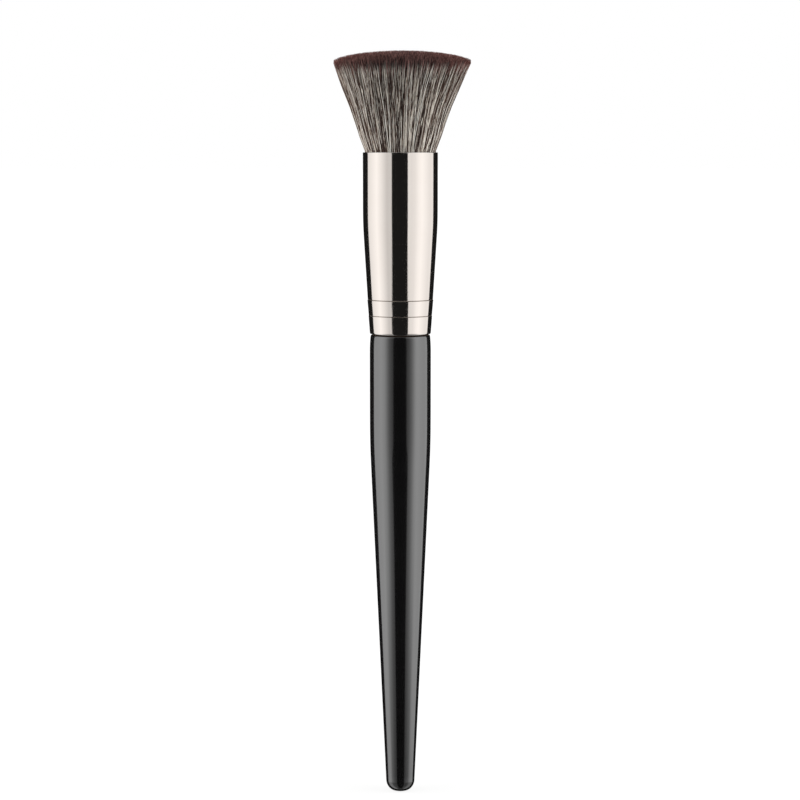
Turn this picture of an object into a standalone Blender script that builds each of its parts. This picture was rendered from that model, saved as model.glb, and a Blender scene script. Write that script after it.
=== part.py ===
"""A flat-top face brush: a turned and lacquered handle, a double-crimped ferrule and a flared tuft.

The brush stands along +Z. Its origin is the centre of the small flat on the handle's butt end.
"""

import math
import random

import bmesh
import bpy

MM = 0.001

# Gap left between one solid and the next
FIT_GAP = 0.3 * MM

# Handle, from the butt end up to the shoulder that meets the ferrule
HANDLE_LENGTH = 108.9 * MM
GRIP_RADIUS = 7.15 * MM
GRIP_LENGTH = 25.5 * MM
TAPER_BLEND = 2.0 * MM
BUTT_RADIUS = 3.37 * MM
BUTT_ROUND_HEIGHT = 2.6 * MM
BUTT_FLAT_RADIUS = 1.1 * MM
SHOULDER_EASE_LENGTH = 4.0 * MM
SHOULDER_EASE_DROP = 0.2 * MM
SHOULDER_EDGE_RADIUS = 0.25 * MM

# Tenon, the spigot on the handle that goes into the ferrule, with a turned groove under each crimp
TENON_LENGTH = 15.0 * MM
TENON_LEAD_LENGTH = 5.5 * MM
TENON_LEAD_RELIEF = 0.8 * MM
TENON_CHAMFER = 0.5 * MM
TENON_GROOVE_DEPTH = 0.35 * MM
TENON_GROOVE_HALF_WIDTH = 0.6 * MM

# Ferrule, a drawn tube: straight at its mouth, then a cone down to two rolled crimps
FERRULE_LENGTH = 42.2 * MM
MOUTH_RADIUS = 8.72 * MM
FERRULE_END_RADIUS = 7.12 * MM
STRAIGHT_LENGTH = 16.4 * MM
CONE_BLEND = 1.2 * MM
FERRULE_WALL = 0.4 * MM
MOUTH_EDGE = 0.1 * MM
END_EDGE = 0.18 * MM
UPPER_CRIMP_HEIGHT = 8.0 * MM
LOWER_CRIMP_HEIGHT = 4.3 * MM
CRIMP_DEPTH = 0.25 * MM
CRIMP_HALF_WIDTH = 0.36 * MM
CRIMP_FLOOR_SHARE = 0.35
UPPER_BEAD_RISE = 0.12 * MM
LOWER_BEAD_RISE = 0.06 * MM
BEAD_SHARES = (0.2, 0.5, 0.8)
CONE_KNEE_SHARES = (-2, -0.8, 0, 0.8, 2)

# Tuft, fibres gathered into locks that flare from the ferrule's mouth to a domed top
STRAND_COUNT = 312
STRAND_SIDES = 3
TUFT_REACH = 23.6 * MM
TUFT_RADIUS = 16.15 * MM
DOME_RISE = 1.6 * MM
RIM_DROP = 0.9 * MM
STRAND_ROOT_RADIUS = 0.3 * MM
STRAND_BODY_RADIUS = 0.62 * MM
STRAND_TIP_RADIUS = 0.3 * MM
TIP_UNEVENNESS = 0.3 * MM
SLICE_DEPTH = 3.0 * MM
SLICE_THICKNESS = 2.0 * MM
STRAND_EMBED = 1.0 * MM
BODY_HEIGHT_SHARE = 0.92
RIM_POWER = 8
GOLDEN_ANGLE = math.pi * (3.0 - math.sqrt(5.0))
SEED = 17

# Packed roots of the fibres, tied with thread at a waist, and below them the resin and the glue
WAIST_DEPTH = 1.4 * MM
WAIST_FALL = 0.8 * MM
THREAD_RADIUS = 0.3 * MM
THREAD_PITCH = 1.1 * MM
THREAD_TURNS = 3
THREAD_POINTS_PER_TURN = 24
RESIN_THICKNESS = 4.0 * MM
MENISCUS_RISE = 0.8 * MM
MENISCUS_STEPS = 4
AIR_SPACE_HEIGHT = 1.9 * MM
TENON_GLUE_COVER = 1.2 * MM
TENON_GLUE_SKIRT = 5.4 * MM

# Fineness of the turned surfaces
TURN_STEPS = 44
BUTT_ARC_STEPS = 7
EDGE_ARC_STEPS = 3
TAPER_STATIONS = 5
SHOULDER_SHARES = (0.35, 0.7, 1.0)
GRIP_KNEE_SHARES = (-3, -1.2, 0, 1.2, 3)
MERGE_DISTANCE = 0.01 * MM
CREASE_ANGLE = math.radians(35)

# Heights that follow from the sizes above
FERRULE_END = HANDLE_LENGTH + FIT_GAP
MOUTH = FERRULE_END + FERRULE_LENGTH
TENON_END = HANDLE_LENGTH + TENON_LENGTH
TENON_RADIUS = FERRULE_END_RADIUS - FERRULE_WALL - FIT_GAP
CRIMPS = (FERRULE_END + UPPER_CRIMP_HEIGHT, FERRULE_END + LOWER_CRIMP_HEIGHT)
SLICE_TOP = MOUTH - SLICE_DEPTH
SLICE_BOTTOM = SLICE_TOP - SLICE_THICKNESS
TENON_GLUE_TOP = TENON_END + FIT_GAP + TENON_GLUE_COVER
RESIN_BOTTOM = TENON_GLUE_TOP + AIR_SPACE_HEIGHT
RESIN_TOP = RESIN_BOTTOM + RESIN_THICKNESS
ROOTS_BOTTOM = RESIN_TOP + FIT_GAP
ROOTS_TOP = SLICE_BOTTOM - FIT_GAP

# The thread's waist, half way up the packed roots
COIL_LENGTH = THREAD_PITCH * THREAD_TURNS + 2 * (THREAD_RADIUS + FIT_GAP)
WAIST_FLOOR_TOP = (ROOTS_TOP + ROOTS_BOTTOM + COIL_LENGTH) / 2
WAIST_FLOOR_BOTTOM = WAIST_FLOOR_TOP - COIL_LENGTH


# Scene and small helpers

def clear_scene():
    """Removes every object, so that the script can be run again."""
    for obj in list(bpy.data.objects):
        bpy.data.objects.remove(obj, do_unlink=True)


def new_collection(name):
    """Adds a collection to the scene."""
    collection = bpy.data.collections.new(name)
    bpy.context.scene.collection.children.link(collection)
    return collection


def new_material(name, colour, roughness, metallic=0.0, coat=0.0):
    """A plain finish for one piece, with its colour in linear values."""
    material = bpy.data.materials.new(name)
    material.use_nodes = True
    shader = material.node_tree.nodes["Principled BSDF"]
    shader.inputs["Base Color"].default_value = (*colour, 1.0)
    shader.inputs["Roughness"].default_value = roughness
    shader.inputs["Metallic"].default_value = metallic
    shader.inputs["Coat Weight"].default_value = coat
    material.diffuse_color = (*colour, 1.0)
    return material


def as_cutter(obj):
    """Marks a helper that only shapes another object."""
    obj.hide_render = True
    obj.display_type = "WIRE"


def evaluated_mesh(obj):
    """The mesh that an object's modifiers or sweep make of it."""
    graph = bpy.context.evaluated_depsgraph_get()
    return bpy.data.meshes.new_from_object(obj.evaluated_get(graph))


def turned(name, profile, material, closed=False):
    """Spins a profile of (radius, height) points round Z. It runs down the outer side."""
    mesh = bpy.data.meshes.new(name)
    edges = [(i, i + 1) for i in range(len(profile) - 1)]
    if closed:
        edges.append((len(profile) - 1, 0))
    mesh.from_pydata([(radius, 0.0, height) for radius, height in profile], edges, [])
    mesh.materials.append(material)
    obj = bpy.data.objects.new(name, mesh)
    brush.objects.link(obj)
    screw = obj.modifiers.new("turn", "SCREW")
    screw.axis = "Z"
    screw.steps = TURN_STEPS
    screw.render_steps = TURN_STEPS
    screw.use_merge_vertices = True
    screw.merge_threshold = MERGE_DISTANCE
    screw.use_smooth_shade = True
    obj.data = evaluated_mesh(obj)
    obj.data.set_sharp_from_angle(angle=CREASE_ANGLE)
    obj.modifiers.remove(screw)
    return obj


def soft_ramp(distance, blend):
    """Zero before the start and rising one for one after it, with a smooth knee."""
    return blend * math.log1p(math.exp(distance / blend))


def radius_at(profile, height):
    """The radius of a profile that runs downwards, at a height on it."""
    for (upper_radius, upper), (lower_radius, lower) in zip(profile, profile[1:]):
        if lower <= height <= upper:
            share = (height - lower) / (upper - lower)
            return lower_radius + (upper_radius - lower_radius) * share
    nearest = min(profile, key=lambda point: abs(point[1] - height))
    return nearest[0]


def inset(profile, depth):
    """Moves a downward profile towards the axis, square to itself and mitred at each corner."""
    moved = []
    last = len(profile) - 1
    for i, (radius, height) in enumerate(profile):
        runs = [(profile[j], profile[j + 1]) for j in (i - 1, i) if 0 <= j < last]
        normals = []
        for (r0, z0), (r1, z1) in runs:
            length = math.hypot(r1 - r0, z1 - z0)
            normals.append(((z1 - z0) / length, (r0 - r1) / length))
        if len(normals) == 1:
            moved.append((radius + depth / normals[0][0], height))
            continue
        sum_r = normals[0][0] + normals[1][0]
        sum_z = normals[0][1] + normals[1][1]
        along = sum_r * normals[0][0] + sum_z * normals[0][1]
        moved.append((radius + depth * sum_r / along, height + depth * sum_z / along))
    return moved


def edge_arc(radius, height, size, top):
    """A rounded outer edge as points running down, at the top or the bottom of a side."""
    points = []
    for step in range(EDGE_ARC_STEPS + 1):
        angle = math.pi / 2 * step / EDGE_ARC_STEPS
        if top:
            points.append((radius - size * (1 - math.sin(angle)), height - size * (1 - math.cos(angle))))
        else:
            points.append((radius - size * (1 - math.cos(angle)), height + size * (1 - math.sin(angle))))
    return points


# Ferrule

def cone_radius(height):
    """The tube's outside before the crimps are rolled in."""
    slope = (MOUTH_RADIUS - FERRULE_END_RADIUS) / (FERRULE_LENGTH - STRAIGHT_LENGTH)
    return MOUTH_RADIUS - slope * soft_ramp(MOUTH - height - STRAIGHT_LENGTH, CONE_BLEND)


def ferrule_skin():
    """The tube's outside from mouth to end: knee, cone, and a bead below each crimp."""
    points = [(MOUTH_RADIUS, MOUTH)]
    for share in CONE_KNEE_SHARES:
        height = MOUTH - STRAIGHT_LENGTH - share * CONE_BLEND
        points.append((cone_radius(height), height))
    beads = ((CRIMPS[1] + CRIMP_HALF_WIDTH, UPPER_BEAD_RISE), (FERRULE_END, LOWER_BEAD_RISE))
    for crimp, (bead_end, rise) in zip(CRIMPS, beads):
        points += crimp_points(crimp)
        points += bead_points(crimp - CRIMP_HALF_WIDTH, bead_end, rise)
    points.append((cone_radius(FERRULE_END), FERRULE_END))
    return points


def crimp_points(crimp):
    """One groove that is rolled into the tube: a lip, a narrow floor and a lip."""
    floor_half_width = CRIMP_HALF_WIDTH * CRIMP_FLOOR_SHARE
    places = (
        (crimp + CRIMP_HALF_WIDTH, 0.0),
        (crimp + floor_half_width, CRIMP_DEPTH),
        (crimp - floor_half_width, CRIMP_DEPTH),
        (crimp - CRIMP_HALF_WIDTH, 0.0),
    )
    return [(cone_radius(height) - depth, height) for height, depth in places]


def bead_points(top, bottom, rise):
    """The soft bulge that rolling raises below a groove."""
    points = []
    for share in BEAD_SHARES:
        height = top + (bottom - top) * share
        points.append((cone_radius(height) + rise * math.sin(math.pi * share), height))
    return points


def make_ferrule(material):
    """The plated tube: its outside, eased edges, and a bore that keeps an even wall."""
    outside = SKIN[1:-1]
    mouth_edge = edge_arc(*SKIN[0], MOUTH_EDGE, top=True)
    end_edge = edge_arc(*SKIN[-1], END_EDGE, top=False)
    bore = inset(SKIN, FERRULE_WALL)
    return turned("ferrule", mouth_edge + outside + end_edge + bore[::-1], material, closed=True)


# Handle

def handle_radius(height):
    """The lacquered outside: a grip, a straight taper, and a slight ease at the shoulder."""
    taper_top = HANDLE_LENGTH - GRIP_LENGTH
    slope = (GRIP_RADIUS - BUTT_RADIUS) / (taper_top - BUTT_ROUND_HEIGHT)
    ease = max(0.0, 1.0 - (HANDLE_LENGTH - height) / SHOULDER_EASE_LENGTH)
    return GRIP_RADIUS - slope * soft_ramp(taper_top - height, TAPER_BLEND) - SHOULDER_EASE_DROP * ease ** 2


def tenon_profile():
    """The tenon from its chamfered end down to the shoulder."""
    end_radius = tenon_radius(TENON_END)
    points = [(end_radius - TENON_CHAMFER, TENON_END), (end_radius, TENON_END - TENON_CHAMFER)]
    points.append((TENON_RADIUS, TENON_END - TENON_LEAD_LENGTH))
    for crimp in CRIMPS:
        points.append((TENON_RADIUS, crimp + TENON_GROOVE_HALF_WIDTH))
        points.append((TENON_RADIUS - TENON_GROOVE_DEPTH, crimp))
        points.append((TENON_RADIUS, crimp - TENON_GROOVE_HALF_WIDTH))
    points.append((TENON_RADIUS, HANDLE_LENGTH))
    return points


def tenon_radius(height):
    """The tenon's side: straight, then a slight lead-in towards its end."""
    lead = max(0.0, height - (TENON_END - TENON_LEAD_LENGTH))
    return TENON_RADIUS - TENON_LEAD_RELIEF * lead / TENON_LEAD_LENGTH


def make_handle(material):
    """The turned handle with its tenon, shoulder, grip, taper and rounded butt."""
    shoulder = edge_arc(handle_radius(HANDLE_LENGTH), HANDLE_LENGTH, SHOULDER_EDGE_RADIUS, top=True)
    side = []
    for share in SHOULDER_SHARES:
        height = HANDLE_LENGTH - share * SHOULDER_EASE_LENGTH
        side.append((handle_radius(height), height))
    taper_top = HANDLE_LENGTH - GRIP_LENGTH
    for share in GRIP_KNEE_SHARES:
        height = taper_top - share * TAPER_BLEND
        side.append((handle_radius(height), height))
    taper_bottom = side[-1][1]
    for station in range(1, TAPER_STATIONS + 1):
        height = taper_bottom + (BUTT_ROUND_HEIGHT - taper_bottom) * station / TAPER_STATIONS
        side.append((handle_radius(height), height))
    butt = []
    for step in range(1, BUTT_ARC_STEPS + 1):
        angle = math.pi / 2 * step / BUTT_ARC_STEPS
        radius = BUTT_FLAT_RADIUS + (BUTT_RADIUS - BUTT_FLAT_RADIUS) * math.cos(angle)
        butt.append((radius, BUTT_ROUND_HEIGHT * (1 - math.sin(angle))))
    profile = [(0.0, TENON_END)] + tenon_profile() + shoulder + side + butt + [(0.0, 0.0)]
    return turned("handle", profile, material)


# Tuft

def dome_height(share):
    """Height of the cut tips, where share runs from 0 on the axis to 1 at the rim."""
    return MOUTH + TUFT_REACH - DOME_RISE * share ** 2 - RIM_DROP * share ** RIM_POWER


def strand_stations(index, jitter):
    """Points and radii up one strand: its root, the mouth, its thickest place and its tip."""
    share = math.sqrt((index + 0.5) / (STRAND_COUNT - 0.5))
    angle = index * GOLDEN_ANGLE
    root_spread = share * (radius_at(SEAT, SLICE_TOP) - STRAND_ROOT_RADIUS)
    tip_spread = share * (TUFT_RADIUS - STRAND_TIP_RADIUS)
    tip = dome_height(share) - jitter * TIP_UNEVENNESS
    body = MOUTH + (tip - MOUTH) * BODY_HEIGHT_SHARE
    body_spread = root_spread + (tip_spread - root_spread) * BODY_HEIGHT_SHARE
    places = (
        (root_spread, SLICE_TOP - STRAND_EMBED, STRAND_ROOT_RADIUS),
        (root_spread, MOUTH, STRAND_ROOT_RADIUS),
        (body_spread, body, STRAND_BODY_RADIUS),
        (tip_spread, tip, STRAND_TIP_RADIUS),
    )
    return [
        (spread * math.cos(angle), spread * math.sin(angle), height, radius)
        for spread, height, radius in places
    ]


def strand_section():
    """The outline that every strand is swept with, of unit radius."""
    curve = bpy.data.curves.new("strand_section", "CURVE")
    spline = curve.splines.new("POLY")
    spline.points.add(STRAND_SIDES - 1)
    for side in range(STRAND_SIDES):
        angle = 2 * math.pi * side / STRAND_SIDES
        spline.points[side].co = (math.cos(angle), math.sin(angle), 0.0, 1.0)
    spline.use_cyclic_u = True
    section = bpy.data.objects.new("strand_section", curve)
    cutters.objects.link(section)
    as_cutter(section)
    return section


def make_strands():
    """All the strands as one mesh of separate closed bodies, each with a ridge facing outwards."""
    draw = random.Random(SEED)
    strands = [strand_stations(index, draw.random()) for index in range(STRAND_COUNT)]
    print("bristle strands least gap, mm:", round(strand_gap(strands) / MM, 3))
    curve = bpy.data.curves.new("strand_lines", "CURVE")
    curve.dimensions = "3D"
    curve.bevel_mode = "OBJECT"
    curve.bevel_object = strand_section()
    curve.use_fill_caps = True
    for index, stations in enumerate(strands):
        spline = curve.splines.new("POLY")
        spline.points.add(len(stations) - 1)
        for point, (x, y, z, radius) in zip(spline.points, stations):
            point.co = (x, y, z, 1.0)
            point.radius = radius
            point.tilt = index * GOLDEN_ANGLE
    lines = bpy.data.objects.new("strand_lines", curve)
    cutters.objects.link(lines)
    bundle = as_mesh_object(lines, "strands")
    cutters.objects.link(bundle)
    as_cutter(bundle)
    return bundle


def strand_gap(strands):
    """Least clear distance between two strands, taken at each station with round sections."""
    least = math.inf
    for places in zip(*strands):
        for i, (x, y, z, radius) in enumerate(places):
            for other_x, other_y, other_z, other_radius in places[i + 1:]:
                distance = math.dist((x, y, z), (other_x, other_y, other_z))
                least = min(least, distance - radius - other_radius)
    return least


def as_mesh_object(curve_object, name):
    """Turns a swept curve into a mesh with welded caps, and removes the curve."""
    mesh = evaluated_mesh(curve_object)
    work = bmesh.new()
    work.from_mesh(mesh)
    bmesh.ops.remove_doubles(work, verts=work.verts, dist=MERGE_DISTANCE)
    bmesh.ops.recalc_face_normals(work, faces=work.faces)
    work.to_mesh(mesh)
    work.free()
    obj = bpy.data.objects.new(name, mesh)
    obj.matrix_world = curve_object.matrix_world
    bpy.data.objects.remove(curve_object, do_unlink=True)
    return obj


def make_tuft(material):
    """The strands fused to the slice of packed fibre that they stand in."""
    radius = radius_at(SEAT, SLICE_TOP)
    mesh = bpy.data.meshes.new("bristle_tuft")
    work = bmesh.new()
    bmesh.ops.create_cone(
        work, cap_ends=True, segments=TURN_STEPS, radius1=radius, radius2=radius, depth=SLICE_THICKNESS
    )
    work.to_mesh(mesh)
    work.free()
    mesh.materials.append(material)
    tuft = bpy.data.objects.new("bristle_tuft", mesh)
    tuft.location.z = (SLICE_TOP + SLICE_BOTTOM) / 2
    brush.objects.link(tuft)
    union = tuft.modifiers.new("strands", "BOOLEAN")
    union.operation = "UNION"
    union.solver = "EXACT"
    union.object = make_strands()
    return tuft


# Inside the ferrule

def waist_radius():
    """The drawn-in radius that the thread is wound on."""
    return radius_at(SEAT, WAIST_FLOOR_TOP) - WAIST_DEPTH


def make_packed_roots(material):
    """The fibres' packed lower part, drawn in at a waist where the thread holds them."""
    waist_top = WAIST_FLOOR_TOP + WAIST_FALL
    waist_bottom = WAIST_FLOOR_BOTTOM - WAIST_FALL
    outline = [
        (0.0, ROOTS_TOP),
        (radius_at(SEAT, ROOTS_TOP), ROOTS_TOP),
        (radius_at(SEAT, waist_top), waist_top),
        (waist_radius(), WAIST_FLOOR_TOP),
        (waist_radius(), WAIST_FLOOR_BOTTOM),
        (radius_at(SEAT, waist_bottom), waist_bottom),
        (radius_at(SEAT, ROOTS_BOTTOM), ROOTS_BOTTOM),
        (0.0, ROOTS_BOTTOM),
    ]
    return turned("packed_roots", outline, material)


def make_tie_thread(material):
    """A few turns of thread wound in the waist."""
    wound_radius = waist_radius() + FIT_GAP + THREAD_RADIUS
    start = WAIST_FLOOR_TOP - FIT_GAP - THREAD_RADIUS
    curve = bpy.data.curves.new("tie_thread", "CURVE")
    curve.dimensions = "3D"
    curve.bevel_depth = THREAD_RADIUS
    curve.bevel_resolution = 1
    curve.use_fill_caps = True
    curve.materials.append(material)
    spline = curve.splines.new("POLY")
    spline.points.add(THREAD_TURNS * THREAD_POINTS_PER_TURN)
    for index, point in enumerate(spline.points):
        turn = index / THREAD_POINTS_PER_TURN
        angle = 2 * math.pi * turn
        x = wound_radius * math.cos(angle)
        y = wound_radius * math.sin(angle)
        point.co = (x, y, start - THREAD_PITCH * turn, 1.0)
    thread = bpy.data.objects.new("tie_thread", curve)
    brush.objects.link(thread)
    print("tie_thread least gap to itself, mm:", round(thread_self_gap(spline) / MM, 3))
    return thread


def thread_self_gap(spline):
    """Least clear distance between one turn of the thread and another, from its points."""
    points = [point.co.xyz for point in spline.points]
    gaps = [
        (points[i] - points[j]).length
        for i in range(len(points))
        for j in range(i + THREAD_POINTS_PER_TURN // 2, len(points))
    ]
    return min(gaps) - 2 * THREAD_RADIUS


def make_epoxy_plug(material):
    """The resin that holds the root ends. It hangs lower at the wall than on the axis."""
    outline = [(0.0, RESIN_TOP), (radius_at(SEAT, RESIN_TOP), RESIN_TOP)]
    edge_radius = radius_at(SEAT, RESIN_BOTTOM)
    for step in range(MENISCUS_STEPS + 1):
        share = 1.0 - step / MENISCUS_STEPS
        outline.append((edge_radius * share, RESIN_BOTTOM + MENISCUS_RISE * (1.0 - share ** 2)))
    return turned("epoxy_plug", outline, material)


def make_tenon_glue(material):
    """Glue that fills the wedge between the straight tenon and the cone, and caps the tenon's end."""
    skirt = TENON_END - TENON_GLUE_SKIRT
    outline = [
        (0.0, TENON_GLUE_TOP),
        (radius_at(SEAT, TENON_GLUE_TOP), TENON_GLUE_TOP),
        (radius_at(SEAT, skirt), skirt),
        (tenon_radius(skirt) + FIT_GAP, skirt),
        (tenon_radius(TENON_END) + FIT_GAP, TENON_END + FIT_GAP),
        (0.0, TENON_END + FIT_GAP),
    ]
    return turned("tenon_glue", outline, material)


clear_scene()
brush = new_collection("face_brush")
cutters = new_collection("cutters")

# The ferrule's outside, and the surface that everything inside it keeps to
SKIN = ferrule_skin()
SEAT = inset(SKIN, FERRULE_WALL + FIT_GAP)

lacquer = new_material("black_lacquer", (0.012, 0.012, 0.012), 0.12, coat=1.0)
polished_metal = new_material("champagne_nickel", (0.86, 0.79, 0.75), 0.1, metallic=1.0)
fibre = new_material("brown_grey_fibre", (0.24, 0.2, 0.18), 0.55)
packed_fibre = new_material("packed_fibre", (0.13, 0.1, 0.09), 0.7)
cotton = new_material("cotton_thread", (0.7, 0.67, 0.6), 0.9)
resin = new_material("clear_resin", (0.72, 0.6, 0.36), 0.2)
wood_glue = new_material("tenon_adhesive", (0.85, 0.82, 0.72), 0.4)

make_handle(lacquer)
make_ferrule(polished_metal)
make_tuft(fibre)
make_packed_roots(packed_fibre)
make_tie_thread(cotton)
make_epoxy_plug(resin)
make_tenon_glue(wood_glue)
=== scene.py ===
# %% [markdown]
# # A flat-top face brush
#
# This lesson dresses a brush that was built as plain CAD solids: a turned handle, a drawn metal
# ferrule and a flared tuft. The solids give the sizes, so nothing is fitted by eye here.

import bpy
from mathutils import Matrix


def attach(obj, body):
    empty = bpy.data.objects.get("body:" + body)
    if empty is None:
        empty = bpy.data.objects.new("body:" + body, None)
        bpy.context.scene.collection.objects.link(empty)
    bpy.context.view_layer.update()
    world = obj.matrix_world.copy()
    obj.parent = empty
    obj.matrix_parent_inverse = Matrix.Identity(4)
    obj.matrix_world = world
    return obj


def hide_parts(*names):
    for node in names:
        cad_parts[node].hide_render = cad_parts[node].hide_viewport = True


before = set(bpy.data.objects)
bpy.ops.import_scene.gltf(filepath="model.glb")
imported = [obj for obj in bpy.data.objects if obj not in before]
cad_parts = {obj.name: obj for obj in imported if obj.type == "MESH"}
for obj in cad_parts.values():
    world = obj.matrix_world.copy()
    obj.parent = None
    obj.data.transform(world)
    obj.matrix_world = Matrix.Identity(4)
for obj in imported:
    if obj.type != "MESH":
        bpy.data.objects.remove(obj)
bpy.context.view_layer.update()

# %% [markdown]
# ## The sizes
#
# The brush stands on its butt along +Z, with the origin under it. Blender works in metres, and
# a brush is measured in millimetres, so every size is written in millimetres and multiplied once.
# They are the sizes that the solids were turned from, because the smooth pieces have to sit
# exactly where the solids are. Only the crimps and the tuft's rim are finer than a solid's.

# %% The brush's own sizes
import math

import bmesh
import bpy

MM = 0.001
FIT_GAP = 0.3 * MM

HANDLE_LENGTH = 108.9 * MM
GRIP_RADIUS = 7.15 * MM
GRIP_LENGTH = 25.5 * MM
TAPER_BLEND = 2.0 * MM
BUTT_RADIUS = 3.37 * MM
BUTT_ROUND_HEIGHT = 2.6 * MM
BUTT_FLAT_RADIUS = 1.1 * MM
SHOULDER_EASE_LENGTH = 4.0 * MM
SHOULDER_EASE_DROP = 0.2 * MM
SHOULDER_EDGE_RADIUS = 0.25 * MM

TENON_LENGTH = 15.0 * MM
TENON_LEAD_LENGTH = 5.5 * MM
TENON_LEAD_RELIEF = 0.8 * MM
TENON_CHAMFER = 0.5 * MM
TENON_GROOVE_DEPTH = 0.35 * MM
TENON_GROOVE_HALF_WIDTH = 0.6 * MM

FERRULE_LENGTH = 42.2 * MM
MOUTH_RADIUS = 8.72 * MM
FERRULE_END_RADIUS = 7.12 * MM
STRAIGHT_LENGTH = 16.4 * MM
CONE_BLEND = 1.2 * MM
FERRULE_WALL = 0.4 * MM
MOUTH_EDGE = 0.1 * MM
END_EDGE = 0.2 * MM
CRIMP_HEIGHTS = (8.0 * MM, 4.3 * MM)
CRIMP_DEPTH = 0.1 * MM
CRIMP_HALF_WIDTH = 0.1 * MM
CRIMP_FLOOR_HALF_WIDTH = 0.02 * MM
BEAD_RISES = (0.09 * MM, 0.05 * MM)

TUFT_REACH = 23.6 * MM
TUFT_RADIUS = 16.0 * MM
DOME_RISE = 1.6 * MM
RIM_DROP = 0.55 * MM
SLICE_DEPTH = 3.0 * MM
SLICE_THICKNESS = 2.0 * MM

FERRULE_END = HANDLE_LENGTH + FIT_GAP
MOUTH = FERRULE_END + FERRULE_LENGTH
TENON_END = HANDLE_LENGTH + TENON_LENGTH
TENON_RADIUS = FERRULE_END_RADIUS - FERRULE_WALL - FIT_GAP
CRIMPS = [FERRULE_END + height for height in CRIMP_HEIGHTS]
print("mouth of the ferrule at", round(MOUTH / MM, 1), "mm; top of the tuft at",
      round((MOUTH + TUFT_REACH) / MM, 1), "mm")

# %% [markdown]
# ## Numbers that flow through nodes
#
# Materials and Geometry Nodes both work by wiring nodes together. A formula of ten steps is ten
# nodes and twenty links, which is slow to write and hard to read. So a small class wraps a socket
# and lets us write the formula with + and *, while it adds the maths nodes for us.

# %% Adding and filling nodes
def add_node(tree, kind, inputs=None, **settings):
    """Adds a node, sets its options, and fills its inputs with plain values or with fields."""
    node = tree.nodes.new(kind)
    for name, value in settings.items():
        setattr(node, name, value)
    for place, value in (inputs or {}).items():
        plug(tree, node.inputs[place], value)
    return node


def plug(tree, socket, value):
    """Gives a socket a value, or links it to what a field or a socket carries."""
    if isinstance(value, Field):
        value = value.socket
    if isinstance(value, bpy.types.NodeSocket):
        tree.links.new(value, socket)
    else:
        socket.default_value = value

# %% Fields
class Field:
    """A number that flows through a node tree. Writing a formula with fields adds the nodes."""

    def __init__(self, socket):
        self.socket = socket

    def maths(self, operation, *others, first=True):
        """Adds a maths node that works on this field and the others."""
        tree = self.socket.id_data
        values = (self, *others) if first else (*others, self)
        node = add_node(tree, "ShaderNodeMath", dict(enumerate(values)), operation=operation)
        return Field(node.outputs[0])

    def __add__(self, other):
        return self.maths("ADD", other)

    def __sub__(self, other):
        return self.maths("SUBTRACT", other)

    def __rsub__(self, other):
        return self.maths("SUBTRACT", other, first=False)

    def __mul__(self, other):
        return self.maths("MULTIPLY", other)

    def __truediv__(self, other):
        return self.maths("DIVIDE", other)

    def __pow__(self, other):
        return self.maths("POWER", other)

    def ramp(self, start, end, low=0.0, high=1.0):
        """Runs smoothly from low to high while this field runs from start to end."""
        values = {"Value": self, "From Min": start, "From Max": end, "To Min": low, "To Max": high}
        tree = self.socket.id_data
        node = add_node(tree, "ShaderNodeMapRange", values, interpolation_type="SMOOTHSTEP")
        return Field(node.outputs[0])

# %% [markdown]
# Nearly every finish also needs vectors, noise and colours, and often has to know which kind of
# ray asks for it. These helpers add such nodes in one line each.

# %% Helpers for vectors, noise, colours and rays
def vector(tree, x, y, z):
    """Three fields or numbers as one vector."""
    return add_node(tree, "ShaderNodeCombineXYZ", {"X": x, "Y": y, "Z": z}).outputs[0]


def split(tree, socket):
    """The three numbers of a vector."""
    node = add_node(tree, "ShaderNodeSeparateXYZ", {0: socket})
    return [Field(output) for output in node.outputs]


def noise(tree, place, scale, detail=2.0, roughness=0.5):
    """Smooth random values about one half that change over a place."""
    values = {"Vector": place, "Scale": scale, "Detail": detail, "Roughness": roughness}
    return Field(add_node(tree, "ShaderNodeTexNoise", values).outputs["Fac"])


def colour_ramp(tree, factor, stops):
    """A colour that follows a factor through (place, colour) stops."""
    node = add_node(tree, "ShaderNodeValToRGB", {"Fac": factor})
    elements = node.color_ramp.elements
    while len(elements) < len(stops):
        elements.new(0.5)
    for element, (place, colour) in zip(elements, stops):
        element.position = place
        element.color = (*colour, 1.0)
    return node.outputs["Color"]


def mix_colour(tree, factor, first, second):
    """Goes from the first colour to the second."""
    node = add_node(tree, "ShaderNodeMix", data_type="RGBA")
    for place, value in ((0, factor), (6, first), (7, second)):
        if isinstance(value, tuple):
            value = (*value, 1.0)
        plug(tree, node.inputs[place], value)
    return node.outputs[2]


def ray_masks(tree):
    """A mask for what the camera sees, straight or through glass, and one for diffuse rays."""
    path = add_node(tree, "ShaderNodeLightPath")
    straight, through, diffuse = (
        Field(path.outputs[f"Is {kind} Ray"]) for kind in ("Camera", "Transmission", "Diffuse")
    )
    return straight.maths("MAXIMUM", through), diffuse

# %% [markdown]
# ## The camera
#
# A product shot of something this long is taken from far back with a long lens, so that the butt
# and the tips show without distortion. A lens of 108 mm at just over half a metre, tipped down by
# about six degrees, shows the whole brush with the slight curve that its lower edges have.

# %% Camera
CAMERA_PLACE = (-0.00008, -0.5607, 0.1515)
CAMERA_TILT = math.radians(5.9)
LENS_LENGTH = 108.0
SENSOR_WIDTH = 36.0
NEAREST_SEEN = 0.01


def new_object(name, data):
    """An object that holds the given data and stands in the scene."""
    made = bpy.data.objects.new(name, data)
    bpy.context.scene.collection.objects.link(made)
    return made


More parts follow.
